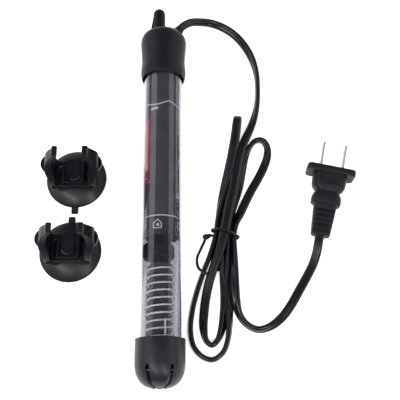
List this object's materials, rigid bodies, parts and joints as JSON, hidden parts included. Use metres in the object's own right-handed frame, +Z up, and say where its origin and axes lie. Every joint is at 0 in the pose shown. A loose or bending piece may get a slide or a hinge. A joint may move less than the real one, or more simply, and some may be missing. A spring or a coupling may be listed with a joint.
{
  "type": "submersible aquarium heater",
  "caption": "Glass tube heater with a wound heating core, printed sleeve, rubber cap with a temperature knob, slotted end guard, loose suction-cup clips and a folded mains cord with a plug.",
  "frame": {"origin": "centre of the footprint of the heater and its clips, without the cord, on the surface they lie on", "axes": "+Y along the heater towards its cap and knob, +Z up from the surface, +X towards the plug"},
  "size_m": [0.1827, 0.2298, 0.031],
  "materials": {
    "glass": "clear, thin wall",
    "cap_rubber": "satin",
    "black_plastic": "satin",
    "guard_plastic": "satin",
    "printed_sleeve": "satin with light line art",
    "ceramic": "matt",
    "bright_wire": "bright drawn wire",
    "board": "matt laminate",
    "brass": "bright",
    "nickel": "satin nickel",
    "lamp_glass": "clear",
    "lead_sheath": "satin",
    "cup_rubber": "satin",
    "cord_sheath": "satin",
    "tie_sheath": "satin"
  },
  "bodies": {
    "heater": {"glass_tube": "glass", "rubber_cap": "cap_rubber", "stopper": "black_plastic", "seal_ring": "cap_rubber", "cord_gland": "cap_rubber", "end_guard": "guard_plastic", "label_sleeve": "printed_sleeve", "core_holder": "cap_rubber", "ceramic_core": "ceramic", "heating_coil": "bright_wire", "return_lead": "bright_wire", "core_foot": "ceramic", "thermostat_board": "board", "fixed_contact": "brass", "snap_magnet": "nickel", "neon_lamp": "lamp_glass", "lamp_resistor": "ceramic", "supply_lead_live": "lead_sheath", "supply_lead_neutral": "lead_sheath", "clip_a_cup": "cup_rubber", "clip_b_cup": "cup_rubber", "plug_body": "cord_sheath", "plug_blade_left": "nickel", "plug_blade_right": "nickel", "mains_cord": "cord_sheath", "wire_tie": "tie_sheath"},
    "knob": {"adjust_knob": "black_plastic", "spindle": "nickel", "adjust_cam": "brass"},
    "bimetal": {"bimetal_blade": "brass", "moving_contact": "nickel"},
    "clip_a": {"clip_a_jaws": "black_plastic"},
    "clip_b": {"clip_b_jaws": "black_plastic"}
  },
  "joints": [
    {"name": "knob_turn", "type": "hinge", "parent": "heater", "child": "knob", "pos_m": [0.0256, 0.098, 0.0153], "axis": [0, 1, 0], "range_deg": [-150, 150]},
    {"name": "contact_flex", "type": "hinge", "parent": "heater", "child": "bimetal", "pos_m": [0.0264, 0.0604, 0.015], "axis": [1, 0, 0], "range_deg": [-1, 1.7], "stiffness_Nm_per_rad": 0.05},
    {"name": "clip_a_swivel", "type": "hinge", "parent": "heater", "child": "clip_a", "pos_m": [-0.0231, 0.0065, 0.0085], "axis": [0, 0, 1], "continuous": true},
    {"name": "clip_b_swivel", "type": "hinge", "parent": "heater", "child": "clip_b", "pos_m": [-0.0244, -0.038, 0.0085], "axis": [0, 0, 1], "continuous": true}
  ]
}
